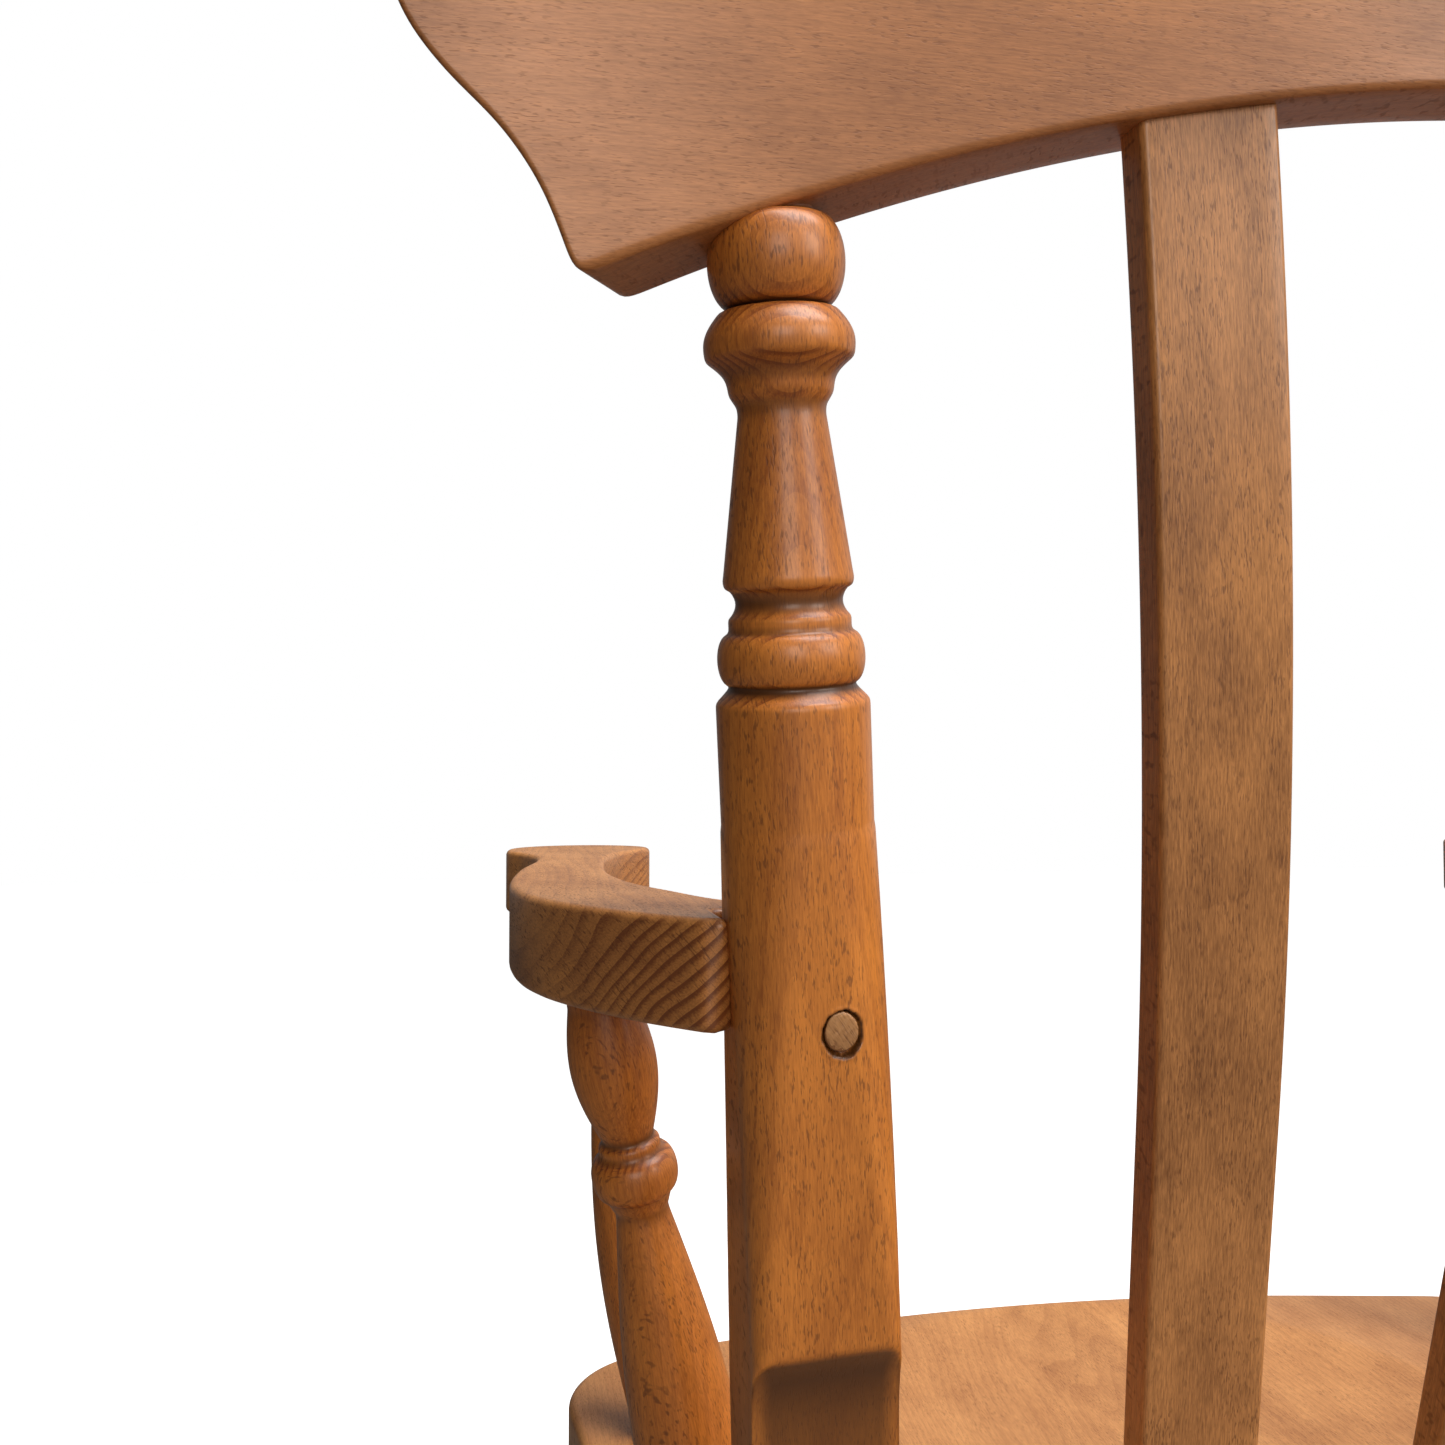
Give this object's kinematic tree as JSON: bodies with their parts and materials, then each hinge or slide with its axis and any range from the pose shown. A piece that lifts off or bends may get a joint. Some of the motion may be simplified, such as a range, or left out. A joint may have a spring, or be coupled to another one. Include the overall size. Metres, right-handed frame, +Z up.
{
  "type": "rocking chair",
  "caption": "Wooden lath-back rocking chair with turned posts and legs, shaped arms, an arched crest rail with eared ends and curved rockers.",
  "frame": {"origin": "on the floor, at the middle of the chair's length and width, with the chair at rest on its rockers", "axes": "+Z up; the chair faces -Y, so +Y is behind it; +X is the sitter's left"},
  "size_m": [0.682, 0.8298, 1.0055],
  "materials": {
    "stained_beech": "stained beech, satin lacquer",
    "seat_beech": "stained beech, satin lacquer, lighter",
    "plug_beech": "stained beech plug, satin lacquer",
    "screw_steel": "zinc plated"
  },
  "bodies": {
    "root": {"seat": "seat_beech", "crest_rail": "seat_beech", "back_post_left": "stained_beech", "back_post_right": "stained_beech", "lath_left": "stained_beech", "lath_centre": "stained_beech", "lath_right": "stained_beech", "arm_left": "stained_beech", "arm_right": "stained_beech", "front_arm_post_left": "stained_beech", "front_arm_post_right": "stained_beech", "rear_arm_post_left": "stained_beech", "rear_arm_post_right": "stained_beech", "leg_front_left": "stained_beech", "leg_front_right": "stained_beech", "leg_rear_left": "stained_beech", "leg_rear_right": "stained_beech", "side_stretcher_left": "stained_beech", "side_stretcher_right": "stained_beech", "cross_stretcher": "stained_beech", "rocker_left": "stained_beech", "rocker_right": "stained_beech", "rocker_pegs": "plug_beech", "arm_screws": "screw_steel", "arm_plug_left": "plug_beech", "arm_plug_right": "plug_beech"}
  },
  "joints": []
}
